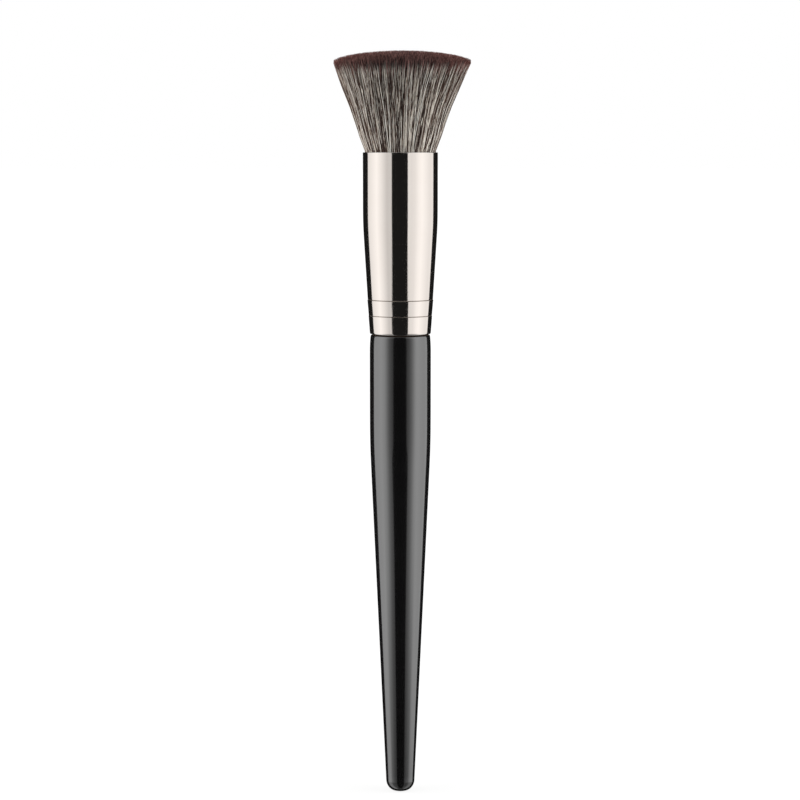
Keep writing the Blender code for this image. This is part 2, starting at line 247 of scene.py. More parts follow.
camera = new_object("camera", bpy.data.cameras.new("camera"))
camera.data.lens = LENS_LENGTH
camera.data.sensor_width = SENSOR_WIDTH
camera.data.clip_start = NEAREST_SEEN
camera.location = CAMERA_PLACE
camera.rotation_euler = (math.pi / 2 - CAMERA_TILT, 0.0, 0.0)
bpy.context.scene.camera = camera
bpy.context.scene.view_settings.view_transform = "Standard"
print("the camera stands", round(-CAMERA_PLACE[1] / MM), "mm in front of the brush")

# %% [markdown]
# ## The light
#
# A polished tube shows its room like a bent mirror. In the studio it stands between two tall
# softboxes, with a narrow dark gap between them where the camera looks through, and the dark of
# the room behind. That is what draws the black stripe down the middle and the thin black edges.
# The world makes that room: rays that bounce off gloss meet the softboxes, diffuse rays meet an
# even light, and the camera sees plain white. The tapered parts mirror what is low in the room,
# so the softboxes draw apart and fade towards the floor, and the highlights get thinner with them.

# %% The softboxes
# Angles are in degrees. Those round the brush start at the camera, and a level of 1 is white.
SOFTBOX_EDGE = 0.8
LEFT_INNER, LEFT_OUTER = 26.4, 119.3
RIGHT_INNER, RIGHT_OUTER = 23.1, 122.0
LEFT_LEVELS = ((28, 0.6), (42, 0.58), (60, 0.82), (78, 1.0), (120, 0.76))
RIGHT_LEVELS = (
    (24, 0.8), (33, 0.75), (46, 0.8), (60, 0.95), (71, 1.0), (88, 0.9), (106, 0.8), (120, 0.83),
)

# What changes towards the floor: two elevations, and the values between which it runs there.
DRAWN_APART = (-8.8, -11.8, 0.0, 6.0)
DRAWN_BACK = (-12.0, -14.5, 0.0, 1.0)
LEFT_BACK, RIGHT_BACK = 4.6, 1.5
LEFT_LAG, RIGHT_LAG = 0.35, 0.2
CUT_CORNERS = (-12.5, -18.5, 0.0, 4.5)
RIGHT_FOOT_IN = (-16.5, -20.5, 0.0, 4.0)
RIGHT_FOOT_LEVEL = (-16.5, -20.5, 1.0, 0.78)
RIGHT_DIM = (-12.5, -14.5, 0.0, 0.13)
BOTH_DIM_FROM, BOTH_DIM_TO, BOTH_DIM = -14.5, -18.0, 0.24
LOWEST = -21.8
FADE = (-27.0, -13.0, 0.1, 1.0)

# Round the brush again: the dimming ends towards the sides, and there the fade starts lower.
NEAR_FROM, NEAR_TO = 78.0, 58.0
FADE_LATER = (62.0, 92.0, -1.2, 2.2)


def softbox(angle, inner, outer, levels):
    """A softbox between two angles off the camera, with levels from its inner to its outer edge."""
    tree = angle.socket.id_data
    past_inner = (angle - inner).ramp(-SOFTBOX_EDGE, SOFTBOX_EDGE)
    before_outer = (outer - angle).ramp(-SOFTBOX_EDGE, SOFTBOX_EDGE)
    stops = [(place / 180.0, (level, level, level)) for place, level in levels]
    return Field(colour_ramp(tree, angle / 180.0, stops)) * (past_inner * before_outer)


def softboxes(azimuth, elevation):
    """Both softboxes, which draw apart and fade towards the floor."""
    apart = elevation.ramp(*DRAWN_APART)
    back = elevation.ramp(*DRAWN_BACK)
    corner = elevation.ramp(*CUT_CORNERS)
    left_inner = apart - back * LEFT_BACK + LEFT_INNER
    left_outer = LEFT_OUTER - apart * LEFT_LAG - corner
    right_inner = apart - back * RIGHT_BACK + elevation.ramp(*RIGHT_FOOT_IN) + RIGHT_INNER
    right_outer = RIGHT_OUTER - apart * RIGHT_LAG - corner
    left = softbox(azimuth * -1.0, left_inner, left_outer, LEFT_LEVELS)
    right = softbox(azimuth, right_inner, right_outer, RIGHT_LEVELS)

    side = azimuth.maths("ABSOLUTE")
    near = side.ramp(NEAR_FROM, NEAR_TO)
    deep = elevation.ramp(BOTH_DIM_FROM, BOTH_DIM_TO)
    left = left * (1.0 - near * deep * BOTH_DIM)
    right = right * (1.0 - near * (elevation.ramp(*RIGHT_DIM) + deep * BOTH_DIM))
    right = right * elevation.ramp(*RIGHT_FOOT_LEVEL)
    low = elevation.maths("MAXIMUM", LOWEST)
    return (left + right) * (low + side.ramp(*FADE_LATER)).ramp(*FADE)

# %% The room that the gloss reflects
WHITE = (1.0, 1.0, 1.0, 1.0)
DIFFUSE_LEVEL = 0.4
DARK_LEVEL = 0.01
CEILING_FROM, CEILING_TO, CEILING_LEVEL = 35.0, 60.0, 0.45
GROUND_FROM, GROUND_TO, GROUND_LEVEL = -68.0, -84.0, 0.09


def make_room():
    """The world: white for the camera, even for diffuse rays, two softboxes for gloss."""
    world = bpy.data.worlds.new("studio")
    bpy.context.scene.world = world
    world.use_nodes = True
    world.cycles.sampling_method = "NONE"
    tree = world.node_tree
    tree.nodes.clear()
    x, y, z = split(tree, add_node(tree, "ShaderNodeTexCoord").outputs["Generated"])
    azimuth = x.maths("ARCTAN2", y * -1.0).maths("DEGREES")
    elevation = z.maths("ARCSINE").maths("DEGREES")
    boxes = softboxes(azimuth, elevation) + DARK_LEVEL
    above = elevation.ramp(CEILING_FROM, CEILING_TO)
    below = elevation.ramp(GROUND_FROM, GROUND_TO)
    room = boxes * (1.0 - above) * (1.0 - below) + above * CEILING_LEVEL + below * GROUND_LEVEL
    seen, diffuse = ray_masks(tree)
    level = seen + (1.0 - seen) * (diffuse * DIFFUSE_LEVEL + (1.0 - diffuse) * room)
    background = add_node(tree, "ShaderNodeBackground", {"Color": WHITE, "Strength": level})
    output = add_node(tree, "ShaderNodeOutputWorld")
    tree.links.new(background.outputs[0], output.inputs["Surface"])
    print("the room has", len(tree.nodes), "nodes")


make_room()

# %% [markdown]
# The even light alone would look flat on the bristles, so two large soft lamps stand at the two
# sides of the brush, a little above it. They rake over the tuft, so that single fibres stand out
# along its edge. They don't show in the gloss, because the softboxes of the room already do.

# %% Lamps
LAMP_SIZE = 0.8
LAMP_POWER = 5.8
LAMP_ASIDE, LAMP_FORWARD, LAMP_HEIGHT = 0.65, 0.08, 0.3
LAMP_TILT = math.radians(78)
LAMP_TURN = math.radians(83)

for side, name in ((-1.0, "lamp_left"), (1.0, "lamp_right")):
    lamp = new_object(name, bpy.data.lights.new(name, "AREA"))
    lamp.data.size = LAMP_SIZE
    lamp.data.energy = LAMP_POWER
    lamp.location = (side * LAMP_ASIDE, -LAMP_FORWARD, LAMP_HEIGHT)
    lamp.rotation_euler = (LAMP_TILT, 0.0, side * LAMP_TURN)
    lamp.visible_glossy = False
    print(name, "gives", LAMP_POWER, "W")

# %% [markdown]
# ## The floor
#
# The floor is a wide pale sheet just under the butt. The camera should see it nearly white, and
# yet it has to keep a soft shadow. So the camera sees mostly a glow of white and a little of the
# real lit surface, while the brush itself is lit by the plain pale sheet alone.

# %% Floor
FLOOR_SIZE = 20.0
FLOOR_DROP = 0.05 * MM
CARD_DEEP, CARD_PALE = (0.8, 0.8, 0.79), (0.86, 0.86, 0.85)
CARD_GLOW = 1.08
SHADOW_REACH = 0.14
GLOW_NEAR_BRUSH = 0.8


def floor_material():
    """Pale card with a faint tooth, which the camera sees as nearly white."""
    material = bpy.data.materials.new("pale_card")
    material.use_nodes = True
    tree = material.node_tree
    shader = tree.nodes["Principled BSDF"]
    place = add_node(tree, "ShaderNodeTexCoord").outputs["Object"]
    tooth = noise(tree, place, 900.0)
    colour = colour_ramp(tree, tooth, ((0.3, CARD_DEEP), (0.7, CARD_PALE)))
    plug(tree, shader.inputs["Base Color"], colour)
    plug(tree, shader.inputs["Roughness"], 0.9)
    plug(tree, shader.inputs["Specular IOR Level"], 0.2)
    glow = add_node(tree, "ShaderNodeEmission", {"Color": WHITE, "Strength": CARD_GLOW})
    seen, _ = ray_masks(tree)
    x, y, _ = split(tree, place)
    away = (x * x + y * y) ** 0.5
    share = seen * away.ramp(0.0, SHADOW_REACH, GLOW_NEAR_BRUSH, 1.0)
    mixed = {0: share, 1: shader.outputs[0], 2: glow.outputs[0]}
    mix = add_node(tree, "ShaderNodeMixShader", mixed)
    tree.links.new(mix.outputs[0], tree.nodes["Material Output"].inputs["Surface"])
    return material


floor_mesh = bpy.data.meshes.new("floor")
sheet = bmesh.new()
bmesh.ops.create_grid(sheet, x_segments=4, y_segments=4, size=FLOOR_SIZE)
bmesh.ops.translate(sheet, verts=sheet.verts, vec=(0.0, 0.0, -FLOOR_DROP))
sheet.to_mesh(floor_mesh)
sheet.free()
floor_mesh.materials.append(floor_material())
floor = new_object("floor", floor_mesh)
floor.visible_glossy = False

# %% [markdown]
# ## Effects that several finishes share
#
# Real surfaces are never one even value. Polishing leaves hair-fine rings round a turned piece,
# hands and dust leave faint patches, and rims that rub against other things go brighter. These
# three effects are node groups, made once, and each finish uses them with its own numbers.

# %% Shared effect groups
def new_group(name, inputs, outputs):
    """An empty shader group with its sockets, and its input values as fields."""
    group = bpy.data.node_groups.new(name, "ShaderNodeTree")
    for label, kind, value in inputs:
        socket = group.interface.new_socket(label, in_out="INPUT", socket_type=kind)
        if value is not None:
            socket.default_value = value
    for label, kind in outputs:
        group.interface.new_socket(label, in_out="OUTPUT", socket_type=kind)
    start = group.nodes.new("NodeGroupInput")
    end = group.nodes.new("NodeGroupOutput")
    return group, {socket.name: Field(socket) for socket in start.outputs if socket.name}, end


def turned_rings_group():
    """Fine rings that a cloth or a tool leaves round a turned piece, as a height from 0 to 1."""
    group, given, end = new_group(
        "turned_rings",
        (("Place", "NodeSocketVector", None), ("Rings", "NodeSocketFloat", 6000.0)),
        (("Height", "NodeSocketFloat"),),
    )
    x, y, z = split(group, given["Place"])
    fine = noise(group, vector(group, x * 60.0, y * 60.0, z * given["Rings"]), 1.0, 3.0)
    broad = noise(group, vector(group, x * 25.0, y * 25.0, z * given["Rings"] * 0.13), 1.0, 2.0)
    plug(group, end.inputs["Height"], fine * 0.65 + broad * 0.35)
    return group


def patches_group():
    """Soft uneven patches with a few finer smears, from 0 to 1."""
    group, given, end = new_group(
        "patches",
        (
            ("Place", "NodeSocketVector", None),
            ("Scale", "NodeSocketFloat", 120.0),
            ("Contrast", "NodeSocketFloat", 1.0),
        ),
        (("Value", "NodeSocketFloat"),),
    )
    large = noise(group, given["Place"], given["Scale"], 3.0)
    small = noise(group, given["Place"], given["Scale"] * 7.0, 4.0, 0.6)
    both = large * 0.7 + small * 0.3 - 0.5
    value = (both * given["Contrast"] * 2.0 + 0.5).maths("MAXIMUM", 0.0).maths("MINIMUM", 1.0)
    plug(group, end.inputs["Value"], value)
    return group


def rim_band_group():
    """A mask round the brush at one height, with a ragged edge."""
    group, given, end = new_group(
        "rim_band",
        (
            ("Place", "NodeSocketVector", None),
            ("Height", "NodeSocketFloat", 0.0),
            ("Half Width", "NodeSocketFloat", 0.5 * MM),
            ("Raggedness", "NodeSocketFloat", 0.5),
        ),
        (("Mask", "NodeSocketFloat"),),
    )
    z = split(group, given["Place"])[2]
    away = (z - given["Height"]).maths("ABSOLUTE") / given["Half Width"]
    ragged = (noise(group, given["Place"], 2400.0, 3.0) - 0.5) * given["Raggedness"] * 2.0
    plug(group, end.inputs["Mask"], (away + ragged).ramp(1.0, 0.45))
    return group


EFFECTS = {
    "turned_rings": turned_rings_group(),
    "patches": patches_group(),
    "rim_band": rim_band_group(),
}
print("shared effects:", ", ".join(EFFECTS))

# %% Using them in a finish
def effect(tree, name, **values):
    """Places a shared effect in a material with this finish's own values."""
    node = add_node(tree, "ShaderNodeGroup", node_tree=EFFECTS[name])
    for label, value in values.items():
        plug(tree, node.inputs[label.replace("_", " ").title()], value)
    return Field(node.outputs[0])


def new_finish(name):
    """A material with its tree, its shader and the place on the piece that patterns follow."""
    material = bpy.data.materials.new(name)
    material.use_nodes = True
    tree = material.node_tree
    place = add_node(tree, "ShaderNodeTexCoord").outputs["Object"]
    return material, tree, tree.nodes["Principled BSDF"], place


def bump(tree, shader, height, distance):
    """Feeds a height in the material to the shader's normal."""
    node = add_node(tree, "ShaderNodeBump", {"Distance": distance, "Height": height})
    tree.links.new(node.outputs["Normal"], shader.inputs["Normal"])


def rim_bands(tree, place, bands, raggedness):
    """The rim band at several heights, each with its half width."""
    shared = {"place": place, "raggedness": raggedness}
    masks = [
        effect(tree, "rim_band", height=height, half_width=width, **shared)
        for height, width in bands
    ]
    return sum(masks[1:], masks[0])

# %% [markdown]
# ## The ferrule's metal
#
# The ferrule is drawn from thin sheet, plated with warm nickel and buffed bright. Buffing on a
# spindle leaves rings too fine to see one by one, which only spread the reflections a little along
# the tube. The rolled grooves are darker and rougher, and the plating rubs through to a paler
# tone at the mouth and the end.

# %% Champagne nickel
NICKEL_DEEP, NICKEL_PALE = (0.972, 0.892, 0.828), (0.995, 0.921, 0.862)
NICKEL_IN_CRIMPS = (0.2, 0.175, 0.16)
NICKEL_RUBBED = (0.97, 0.94, 0.91)


def champagne_nickel():
    """Buffed warm nickel, darker in the crimps and rubbed at its two ends."""
    material, tree, shader, place = new_finish("champagne_nickel")
    rings = effect(tree, "turned_rings", place=place, rings=9000.0)
    patches = effect(tree, "patches", place=place, scale=160.0)
    colour = mix_colour(tree, patches, NICKEL_DEEP, NICKEL_PALE)
    # The crimps are darker and rougher.
    crimp_bands = rim_bands(tree, place, [(crimp, 0.12 * MM) for crimp in CRIMPS], 0.25)
    colour = mix_colour(tree, crimp_bands * 0.5, colour, NICKEL_IN_CRIMPS)
    rubbed = rim_bands(tree, place, ((MOUTH, 0.25 * MM), (FERRULE_END, 0.3 * MM)), 0.5)
    colour = mix_colour(tree, rubbed * 0.5, colour, NICKEL_RUBBED)
    plug(tree, shader.inputs["Base Color"], colour)
    plug(tree, shader.inputs["Metallic"], 1.0)
    roughness = rings * 0.03 + patches * 0.02 + 0.05 + rubbed * 0.1 + crimp_bands * 0.25
    plug(tree, shader.inputs["Roughness"], roughness)
    bump(tree, shader, rings + patches * 0.3, 0.0004 * MM)
    return material


NICKEL = champagne_nickel()
print(NICKEL.name, "has", len(NICKEL.node_tree.nodes), "nodes")

# %% [markdown]
# ## The ferrule
#
# The tube is one formula: straight at its mouth, easing into a cone, with two grooves rolled into
# it and a lip raised below each. We could model it by hand with edge loops, but a profile
# that is turned round the axis gives an exact round tube. The profile has many short steps near
# each edge, so that smooth shading stays tight there and the long faces reflect straight lines.

# %% Turning a profile
TURN_STEPS = 256
EDGE_STEPS = 6
CREASE = math.radians(40)
ON_AXIS = 1e-7


def soft_ramp(distance, blend):
    """Zero before the start and rising one for one after it, with a smooth knee."""
    return blend * math.log1p(math.exp(distance / blend))


def smooth_step(value):
    """Zero below 0, one above 1, and smooth between."""
    value = min(max(value, 0.0), 1.0)
    return value * value * (3.0 - 2.0 * value)


def heights(top, bottom, step):
    """Even stations that run down from one height to another, both ends included."""
    count = max(1, round((top - bottom) / step))
    return [top + (bottom - top) * i / count for i in range(count + 1)]


def edge_arc(radius, height, size, top):
    """A rounded outer edge as points running down, at the top or the bottom of a side."""
    points = []
    for step in range(EDGE_STEPS + 1):
        angle = math.pi / 2 * step / EDGE_STEPS
        if top:
            inset, drop = 1 - math.sin(angle), 1 - math.cos(angle)
            points.append((radius - size * inset, height - size * drop))
        else:
            inset, rise = 1 - math.cos(angle), 1 - math.sin(angle)
            points.append((radius - size * inset, height + size * rise))
    return points

# %% Making the shell
def print_triangles(mesh):
    """Says how many triangles a mesh has."""
    print(mesh.name, "has", sum(len(face.vertices) - 2 for face in mesh.polygons), "triangles")


def turned(name, profile, closed=False):
    """Turns (radius, height) points round Z into a shell that faces outwards, and smooths it."""
    shell = bmesh.new()
    rings = []
    for radius, height in profile:
        if radius < ON_AXIS:
            rings.append([shell.verts.new((0.0, 0.0, height))] * TURN_STEPS)
            continue
        angles = [2 * math.pi * step / TURN_STEPS for step in range(TURN_STEPS)]
        circle = [(radius * math.cos(angle), radius * math.sin(angle), height) for angle in angles]
        rings.append([shell.verts.new(point) for point in circle])
    pairs = list(zip(rings, rings[1:])) + ([(rings[-1], rings[0])] if closed else [])
    for upper, lower in pairs:
        for step in range(TURN_STEPS):
            after = (step + 1) % TURN_STEPS
            corners = [upper[after], upper[step], lower[step], lower[after]]
            corners = [corner for i, corner in enumerate(corners) if corner not in corners[:i]]
            if len(corners) > 2:
                shell.faces.new(corners)
    bmesh.ops.recalc_face_normals(shell, faces=shell.faces)
    mesh = bpy.data.meshes.new(name)
    shell.to_mesh(mesh)
    shell.free()
    mesh.shade_smooth()
    mesh.set_sharp_from_angle(angle=CREASE)
    print_triangles(mesh)
    return new_object(name, mesh)

# %% The ferrule's profile
LONG_STEP = 0.8 * MM
CRIMP_STEP = 0.05 * MM


def cone_radius(height):
    """The tube's outside before the crimps are rolled in."""
    slope = (MOUTH_RADIUS - FERRULE_END_RADIUS) / (FERRULE_LENGTH - STRAIGHT_LENGTH)
    return MOUTH_RADIUS - slope * soft_ramp(MOUTH - height - STRAIGHT_LENGTH, CONE_BLEND)


def rolled_relief(height):
    """What the crimping rolls press in, and the lip that they raise below each groove."""
    relief = 0.0
    wall_width = CRIMP_HALF_WIDTH - CRIMP_FLOOR_HALF_WIDTH
    for crimp, bead_end, rise in zip(CRIMPS, (CRIMPS[1], FERRULE_END), BEAD_RISES):
        away = abs(height - crimp)
        relief -= CRIMP_DEPTH * smooth_step((CRIMP_HALF_WIDTH - away) / wall_width)
        share = (crimp - height) / (crimp - bead_end)
        if 0.0 < share < 1.0:
            relief += rise * (1.0 - share)
    return relief


def make_ferrule():
    """The plated tube with its crimps, rolled edges and an even wall."""
    crimp_top = CRIMPS[0] + 2 * CRIMP_HALF_WIDTH
    stations = [MOUTH - MOUTH_EDGE * 1.5]
    stations += heights(MOUTH - MOUTH_EDGE * 3, crimp_top, LONG_STEP)
    stations += heights(crimp_top - CRIMP_STEP, FERRULE_END + END_EDGE * 2, CRIMP_STEP)
    outside = [(cone_radius(h) + rolled_relief(h), h) for h in stations]
    mouth_edge = edge_arc(MOUTH_RADIUS, MOUTH, MOUTH_EDGE, top=True)
    end_edge = edge_arc(cone_radius(FERRULE_END), FERRULE_END, END_EDGE, top=False)
    bore = [(radius - FERRULE_WALL, height) for radius, height in outside[::-2]]
    bore = [(bore[0][0], FERRULE_END)] + bore + [(MOUTH_RADIUS - FERRULE_WALL, MOUTH)]
    return turned("ferrule_tube", mouth_edge + outside + end_edge + bore, closed=True)


ferrule = make_ferrule()
ferrule.data.materials.append(NICKEL)
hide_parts("ferrule")
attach(ferrule, "root")

# %% [markdown]
# ## The handle's lacquer
#
# The handle is turned hardwood, filled, sprayed black and topped with clear gloss. Two things give
# deep black gloss its look: the black under it takes in nearly all light, and the clear coat over
# it mirrors the room. So the paint is almost black, and a coat lies over it. Sanding rings show
# faintly through the paint, and the coat has the slight orange skin of sprayed lacquer. The tenon
# has no lacquer, because glue holds better on bare wood, so no gloss shines in the joint's gap.
# Its wood is painted nearly black: painted shade in that gap.

# %% Black lacquer
PAINT_DEEP, PAINT_PALE = (0.003, 0.0029, 0.0031), (0.0065, 0.0062, 0.0064)
PAINT_RUBBED = (0.05, 0.045, 0.042)
TENON_SHADE_DARK, TENON_SHADE_LIGHT = (0.02, 0.012, 0.008), (0.05, 0.03, 0.018)


def black_lacquer():
    """Black paint under clear gloss, with a trace of rings, orange skin and handling."""
    material, tree, shader, place = new_finish("black_lacquer")
    rings = effect(tree, "turned_rings", place=place, rings=2600.0)
    patches = effect(tree, "patches", place=place, scale=90.0)
    skin = noise(tree, place, 700.0, 2.0)
    colour = mix_colour(tree, patches * 0.6 + rings * 0.4, PAINT_DEEP, PAINT_PALE)
    rubbed = rim_bands(tree, place, ((0.0, 0.5 * MM),), 0.8)
    colour = mix_colour(tree, rubbed * 0.35, colour, PAINT_RUBBED)
    # The bare tenon loses the coat and, from just below the shoulder, is painted nearly black:
    # painted shade for the joint's gap.
    bare = split(tree, place)[2].ramp(HANDLE_LENGTH - 0.05 * MM, HANDLE_LENGTH)
    tenon_wood_and_shade = mix_colour(tree, rings, TENON_SHADE_DARK, TENON_SHADE_LIGHT)
    plug(tree, shader.inputs["Base Color"], mix_colour(tree, bare, colour, tenon_wood_and_shade))
    plug(tree, shader.inputs["Roughness"], rings * 0.05 + patches * 0.05 + 0.13 + bare * 0.6)
    plug(tree, shader.inputs["IOR"], 1.4)
    facing = Field(add_node(tree, "ShaderNodeLayerWeight", {"Blend": 0.5}).outputs["Facing"])
    plug(tree, shader.inputs["Coat Weight"], facing.ramp(0.0, 0.16) * (1.0 - bare))
    plug(tree, shader.inputs["Coat Roughness"], 0.08)
    plug(tree, shader.inputs["Coat IOR"], 2.7)
    bump(tree, shader, skin * 0.8 + rings * 0.2, 0.0006 * MM)
    return material


LACQUER = black_lacquer()
print(LACQUER.name, "has", len(LACQUER.node_tree.nodes), "nodes")

# %% [markdown]
# ## The handle
#
# The handle is one turned shape too: a round butt, a long even taper, a knee into the straight
# grip, and a small ease at the shoulder that keeps the lacquer clear of the ferrule's edge. Its
# tenon goes up inside the ferrule, with a turned groove under each crimp.

# %% The handle's profile
BUTT_STEPS = 24
SHOULDER_STEP = 0.2 * MM
TAPER_STEP = 1.5 * MM


def handle_radius(height):
    """The lacquered outside: a grip, a straight taper, and a slight ease at the shoulder."""
    taper_top = HANDLE_LENGTH - GRIP_LENGTH
    slope = (GRIP_RADIUS - BUTT_RADIUS) / (taper_top - BUTT_ROUND_HEIGHT)
    ease = max(0.0, 1.0 - (HANDLE_LENGTH - height) / SHOULDER_EASE_LENGTH)
    taper = slope * soft_ramp(taper_top - height, TAPER_BLEND)
    return GRIP_RADIUS - taper - SHOULDER_EASE_DROP * ease ** 2


def tenon_points():
    """The tenon from its chamfered end down to the shoulder."""
    end_radius = TENON_RADIUS - TENON_LEAD_RELIEF
    points = [(end_radius - TENON_CHAMFER, TENON_END), (end_radius, TENON_END - TENON_CHAMFER)]
    points.append((TENON_RADIUS, TENON_END - TENON_LEAD_LENGTH))
    for crimp in CRIMPS:
        points.append((TENON_RADIUS, crimp + TENON_GROOVE_HALF_WIDTH))
        points.append((TENON_RADIUS - TENON_GROOVE_DEPTH, crimp))
        points.append((TENON_RADIUS, crimp - TENON_GROOVE_HALF_WIDTH))
    return points + [(TENON_RADIUS, HANDLE_LENGTH)]


def butt_points():
    """The rounded butt end, down to the small flat that the brush stands on."""
    points = []
    for step in range(1, BUTT_STEPS + 1):
        angle = math.pi / 2 * step / BUTT_STEPS
        radius = BUTT_FLAT_RADIUS + (BUTT_RADIUS - BUTT_FLAT_RADIUS) * math.cos(angle)
        points.append((radius, BUTT_ROUND_HEIGHT * (1 - math.sin(angle))))
    return points

# %% Turning the handle
def make_handle():
    """The turned handle with its tenon, shoulder, grip, taper and rounded butt."""
    shoulder_radius = handle_radius(HANDLE_LENGTH)
    shoulder = edge_arc(shoulder_radius, HANDLE_LENGTH, SHOULDER_EDGE_RADIUS, top=True)
    side_top = HANDLE_LENGTH - SHOULDER_EDGE_RADIUS * 1.2
    side = heights(side_top, HANDLE_LENGTH - SHOULDER_EASE_LENGTH, SHOULDER_STEP)
    side += heights(side[-1] - TAPER_STEP, BUTT_ROUND_HEIGHT, TAPER_STEP)
    outside = [(handle_radius(height), height) for height in side]
    tenon = [(0.0, TENON_END)] + tenon_points()
    return turned("handle_lacquered", tenon + shoulder + outside + butt_points() + [(0.0, 0.0)])


handle = make_handle()
handle.data.materials.append(LACQUER)
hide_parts("handle")
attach(handle, "root")

# %% [markdown]
# ## The bristles' colours
#
# The tuft mixes fine synthetic fibres of several tones, from silvery grey to dark brown, and every
# fibre is dipped so that its tip is a deep maroon brown. The dye climbs unevenly: pale fibres take
# less of it. At the two flanks the tips are painted lighter, redder and dyed shorter, and the
# bodies a little lighter and browner: painted light, for the side lamps and for the light through
# the thin row of tips there. Fibres further in are painted darker, as painted shade, and the tips
# of darker fibres and the last of every tip are painted paler, as painted light through the top.
# One picture of stripes would look painted on. Instead each fibre carries its own numbers: one
# that tells it from its neighbours, its tone with that painted shade, its grain, and how far each
# point on it lies from its tip. The material turns these into colour, with lighter and darker
# lengths along each fibre, darker towards the tip and towards the mouth.

# %% Brush fibre
FIBRE_TONES = (
    (0.0, (0.028, 0.015, 0.012)),
    (0.41, (0.05, 0.03, 0.024)),
    (0.44, (0.22, 0.165, 0.135)),
    (0.47, (0.61, 0.52, 0.43)),
    (0.52, (0.95, 0.88, 0.77)),
    (1.0, (0.99, 0.97, 0.9)),
)
FIBRE_DARKENED = (0.03, 0.022, 0.018)
FIBRE_BROWN = (0.24, 0.145, 0.11)
TIP_DARK, TIP_PALE = (0.018, 0.0088, 0.008), (0.39, 0.21, 0.19)
TIP_FLANK_LIGHT = (0.26, 0.08, 0.06)
DYE_END, DYE_START = 4.3 * MM, 2.0 * MM
LENGTHS_PER_METRE = 300.0


def fibre_number(tree, name):
    """A number that each fibre carries."""
    return Field(add_node(tree, "ShaderNodeAttribute", attribute_name=name).outputs["Fac"])


def brush_fibre():
    """Grey and brown fibre with dyed tips and painted light and shade, from its own numbers."""
    material, tree, shader, place = new_finish("brush_fibre")
    names = ("tone_and_shade", "grain", "to_tip", "own")
    tone_and_shade, grain, to_tip, own = (fibre_number(tree, name) for name in names)
    x, y, _ = split(tree, place)
    # Painted light at the two flanks: bodies a little lighter and browner, tips lighter, redder and
    # dyed shorter.
    flank_light = x * x / (x * x + y * y + 0.01 * MM * MM)
    line = vector(tree, own * 9000.0, own * 3700.0, to_tip * LENGTHS_PER_METRE)
    along = noise(tree, line, 1.0, 2.0)

    body = colour_ramp(tree, tone_and_shade + flank_light * 0.04 + along * 1.2 - 0.6, FIBRE_TONES)
    # The bodies are darker towards the tip and towards the mouth.
    darkening = to_tip.ramp(20.0 * MM, 4.0 * MM, 0.0, 0.3)
    darkening = darkening + to_tip.ramp(15.0 * MM, 22.0 * MM, 0.0, 0.12)
    body = mix_colour(tree, darkening, body, FIBRE_DARKENED)
    body = mix_colour(tree, grain.ramp(0.4, 1.0, 0.0, 0.3) + flank_light * 0.2, body, FIBRE_BROWN)

    # Tip paleness follows grain and the lengths along each fibre. Painted light on top: lower-tone
    # fibres, such as the inner ones, get paler tips, and each tip's last 1.2 mm is painted paler.
    tip_paleness_and_light = grain * 1.3 + along * 0.6 - tone_and_shade * 0.5 - 0.74
    tip_paleness_and_light = tip_paleness_and_light + to_tip.ramp(1.2 * MM, 0.0, 0.0, 0.2)
    tip = mix_colour(tree, tip_paleness_and_light, TIP_DARK, TIP_PALE)
    tip = mix_colour(tree, flank_light * 0.35, tip, TIP_FLANK_LIGHT)
    dyed = (to_tip + tone_and_shade * 2.0 * MM + flank_light * 0.5 * MM).ramp(DYE_END, DYE_START)
    plug(tree, shader.inputs["Base Color"], mix_colour(tree, dyed, body, tip))
    plug(tree, shader.inputs["Roughness"], along * 0.15 + 0.36)
    plug(tree, shader.inputs["Specular IOR Level"], 0.3)
    bump(tree, shader, along, 0.002 * MM)
    return material


FIBRE = brush_fibre()
print(FIBRE.name, "has", len(FIBRE.node_tree.nodes), "nodes")

# %% [markdown]
# ## The bristles
#
# A real tuft has many thousand fibres. Each one stands in the ferrule, bends outwards at the mouth
# and runs nearly straight to the domed top, where the whole tuft was cut. Nobody would place them
# by hand: they follow a rule, so Geometry Nodes make them.
#
# The tree spreads fibres on a sunflower spiral, which fills a disc evenly. It bends a straight line
# of points for each fibre along the rule, adds a small lean, a wave and the pull of its
# neighbours, and sweeps a three-sided section along it. The outermost fibres lie looser than the
# rest, which breaks the outline up as on a real brush.

# %% The tree's inputs
FIBRE_INPUTS = {
    "Int": ("Fibres", "First Fibre", "Whole Count", "Seed"),
    "Float": (
        "Root Height", "Mouth Height", "Top Height", "Mouth Spread", "Rim Spread", "Dome Rise",
        "Rim Drop", "Fibre Radius", "Lean", "Lock Pull", "Lock Place", "Wave", "Loose Skin", "Sway",
    ),
    "Material": ("Material",),
}


def geometry_tree(name, inputs):
    """An empty Geometry Nodes tree with named inputs, and its input values as fields."""
    tree = bpy.data.node_groups.new(name, "GeometryNodeTree")
    for kind, labels in inputs.items():
        for label in labels:
            tree.interface.new_socket(label, in_out="INPUT", socket_type="NodeSocket" + kind)
    tree.interface.new_socket("Geometry", in_out="OUTPUT", socket_type="NodeSocketGeometry")
    start = tree.nodes.new("NodeGroupInput")
    return tree, {socket.name: Field(socket) for socket in start.outputs if socket.name}

# %% [markdown]
# Each fibre draws its own random numbers. Every kind of draw has its number below, which is added
# to the seed. So a fibre always gets the same ones, and a new kind of draw changes no other.

# %% Random numbers for each fibre
LEAN_DRAW, TURN_DRAW = 1, 4
CUT_DRAW, PHASE_DRAW, WAVE_DRAW, SIDE_DRAW = 7, 8, 9, 10
TWIST_DRAW, OWN_DRAW, GRAIN_DRAW, STRAY_DRAW = 11, 12, 13, 14
FULL_TURN = 2.0 * math.pi


